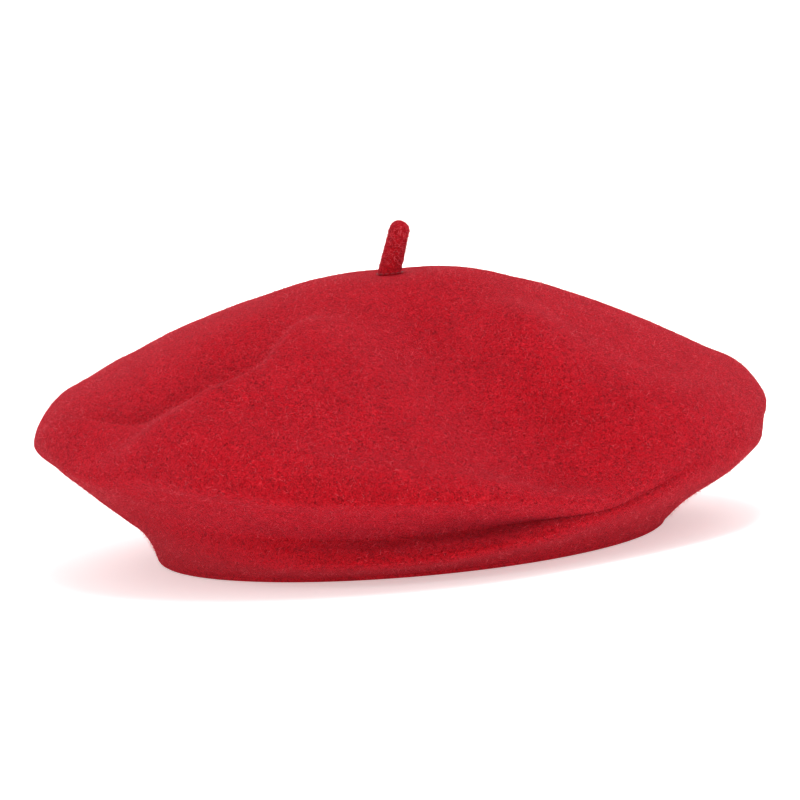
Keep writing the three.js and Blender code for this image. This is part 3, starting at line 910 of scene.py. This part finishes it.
def bow_wrap(material):
    """The short ribbon round the bow's middle, with softly rounded corners."""
    low, high = node_box("bow_wrap")
    middle = (low + high) / 2
    wide, deep, tall = (high - low) / 2
    turn = np.linspace(0, 2 * math.pi, int(96 * FINE), endpoint=False)
    corner = 0.35
    y = (deep - BOW_THICK / 2) * np.sign(np.cos(turn)) * np.abs(np.cos(turn)) ** corner
    z = (tall - BOW_THICK / 2) * np.sign(np.sin(turn)) * np.abs(np.sin(turn)) ** corner
    path = np.stack([y, z], -1)
    section = rounded_section(BOW_THICK, -wide, wide, 2)
    rows = []
    for point, away in zip(path, outwards(path)):
        flat = point + section[:, :1] * away
        rows.append(np.column_stack([middle[0] + section[:, 1], flat + middle[1:]]))
    faces = grid_faces(len(path), len(section), True)
    piece = face_out(mesh_object("bow_centre", np.concatenate(rows), faces, material))
    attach(piece, "crown")
    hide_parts("bow_wrap")


# ---- labels ----------------------------------------------------------------------------------

def maker_label(satin, thread):
    """A blank woven label, a little slack between its two sewn ends."""
    low, high = node_box("maker_label")
    radius = RIBBON_RADIUS - RIBBON_THICK - MAKER_GAP
    degrees = np.linspace(MAKER_FROM, MAKER_TO, int(60 * FINE))
    slack = 0.12 * np.sin(np.radians((degrees - MAKER_FROM) / (MAKER_TO - MAKER_FROM) * 180.0))
    section = rounded_section(LABEL_THICK, low[2], high[2], 2)
    piece = curved_band("maker_label_blank", satin, degrees, radius - slack, section, False)
    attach(piece, "crown")
    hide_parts("maker_label")
    reach = np.linspace(-0.9, 0.9, STITCH_POINTS)
    for side, angle in (("right", MAKER_FROM + MAKER_SEAM), ("left", MAKER_TO - MAKER_SEAM)):
        node = "maker_label_stitch_" + side
        bottom, top = node_box(node)
        centres = np.linspace(bottom[2] + 1.0, top[2] - 1.0, MAKER_STITCHES)
        paths = [on_ring(radius - 0.28, angle, z + reach) for z in centres]
        stitches("label_stitches_" + side, paths, FINE_THREAD, thread, "crown", node)


def care_label(satin, thread):
    """A blank satin label that hangs from its sewn top edge and curls a little at the bottom."""
    pivot = in_mm(PIVOTS["label_flap"]["pos_m"])
    out = np.array([pivot[0], pivot[1], 0.0])
    out /= np.linalg.norm(out)
    side = np.array([-out[1], out[0], 0.0])
    low, high = node_box("care_label")
    tall = high[2] - low[2]
    columns, rows = int(40 * FINE), int(30 * FINE)
    across = np.linspace(-CARE_WIDTH / 2, CARE_WIDTH / 2, columns)[None, :]
    down = np.linspace(0, 1, rows)[:, None]
    curl = 0.55 * down**2 - 0.30 * down * np.cos(across / CARE_WIDTH * math.pi)
    layers = []
    for offset in (-LABEL_THICK / 2, LABEL_THICK / 2):
        points = pivot + (offset - curl)[..., None] * out + across[..., None] * side
        points[..., 2] = high[2] - tall * down
        layers.append(points)
    loop = np.concatenate([layers[0], layers[1][:, ::-1]], 1)
    faces = grid_faces(rows, 2 * columns, False)
    last = (rows - 1) * 2 * columns
    # The strips that join the two layers at the top and at the bottom.
    for first in (0, last):
        for i in range(columns - 1):
            strip = (first + i, first + i + 1, first + 2 * columns - 2 - i, first + 2 * columns - 1 - i)
            faces.append(strip if first == 0 else strip[::-1])
    piece = face_out(mesh_object("care_label_blank", loop.reshape(-1, 3), faces, satin))
    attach(piece, "care_flap")
    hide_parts("care_label")
    paths = []
    for centre in np.linspace(-CARE_WIDTH / 2 + CARE_SEAM, CARE_WIDTH / 2 - CARE_SEAM, CARE_STITCHES):
        reach = centre + np.linspace(-1.0, 1.0, STITCH_POINTS)
        paths.append(pivot + reach[:, None] * side)
    stitches("care_label_stitches", paths, THREAD, thread, "crown", "care_label_thread")


# ---- camera, floor and light ---------------------------------------------------------------

def set_camera():
    """A long lens a little above the hem, turned by a few degrees, in metres."""
    rise = math.radians(6.0)
    roll = math.radians(4.8)
    distance = 1.28
    aim = Vector((0.0, 0.0, 0.050))
    forward = Vector((0.0, math.cos(rise), -math.sin(rise)))
    right = Vector((1.0, 0.0, 0.0))
    up = right.cross(forward)
    camera_right = right * math.cos(roll) - up * math.sin(roll)
    camera_up = right * math.sin(roll) + up * math.cos(roll)
    data = bpy.data.cameras.new("camera")
    data.lens = 149.7
    data.sensor_width = 36.0
    data.shift_x = -0.0015
    data.shift_y = 0.013
    data.clip_end = 50.0
    camera = bpy.data.objects.new("camera", data)
    turn = Matrix((camera_right, camera_up, -forward)).transposed().to_4x4()
    camera.matrix_world = Matrix.Translation(aim - forward * distance) @ turn
    bpy.context.scene.collection.objects.link(camera)
    bpy.context.scene.camera = camera


def set_floor(material):
    """A floor that curves up into a backdrop, in metres."""
    mesh = bpy.data.meshes.new("floor")
    half = 12.0
    start, bend, top = 2.0, 3.0, 14.0
    run = [(-half, 0.0), (start, 0.0)]
    for turn in np.radians(np.linspace(4, 90, 22)):
        run.append((start + bend * math.sin(turn), bend - bend * math.cos(turn)))
    run.append((start + bend, top))
    points = [(side * half, y, z) for y, z in run for side in (-1, 1)]
    mesh.from_pydata(points, [], [(2 * i, 2 * i + 1, 2 * i + 3, 2 * i + 2) for i in range(len(run) - 1)])
    mesh.shade_smooth()
    mesh.materials.append(material)
    floor = bpy.data.objects.new("floor", mesh)
    bpy.context.scene.collection.objects.link(floor)


def add_light(name, size, power, place, aim=(0.0, 0.0, 0.05)):
    data = bpy.data.lights.new(name, "AREA")
    data.shape = "RECTANGLE"
    data.size, data.size_y = size
    data.energy = power
    light = bpy.data.objects.new(name, data)
    light.location = place
    light.rotation_euler = (Vector(aim) - Vector(place)).to_track_quat("-Z", "Y").to_euler()
    bpy.context.scene.collection.objects.link(light)


def set_light():
    world = bpy.data.worlds.new("studio")
    world.use_nodes = True
    background = world.node_tree.nodes["Background"]
    background.inputs["Color"].default_value = (1.0, 1.0, 1.0, 1.0)
    background.inputs["Strength"].default_value = 0.80
    bpy.context.scene.world = world
    add_light("key", (0.7, 0.5), 10.0, (0.12, -0.05, 1.4))
    add_light("front", (1.6, 0.7), 12.0, (0.1, -2.2, 0.35))
    add_light("backdrop", (3.0, 1.2), 80.0, (0.0, 1.2, 1.9), (0.0, 3.6, 0.2))
    bpy.context.scene.view_settings.view_transform = "Standard"


# ---- the scene --------------------------------------------------------------------------------

set_camera()
set_floor(pale_floor())
set_light()
felt = wool_felt()
ribbon = grosgrain()
sewing = sewing_thread()
satin = label_satin()
loose_wool = wool_nap()
felt_crown(felt, loose_wool)
stalk(felt, loose_wool)
stalk_thread(sewing)
stalk_knot(sewing)
elastic(woven_elastic())
sweatband(ribbon)
hem_threads(sewing)
bow(ribbon)
maker_label(satin, sewing)
care_label(satin, sewing)
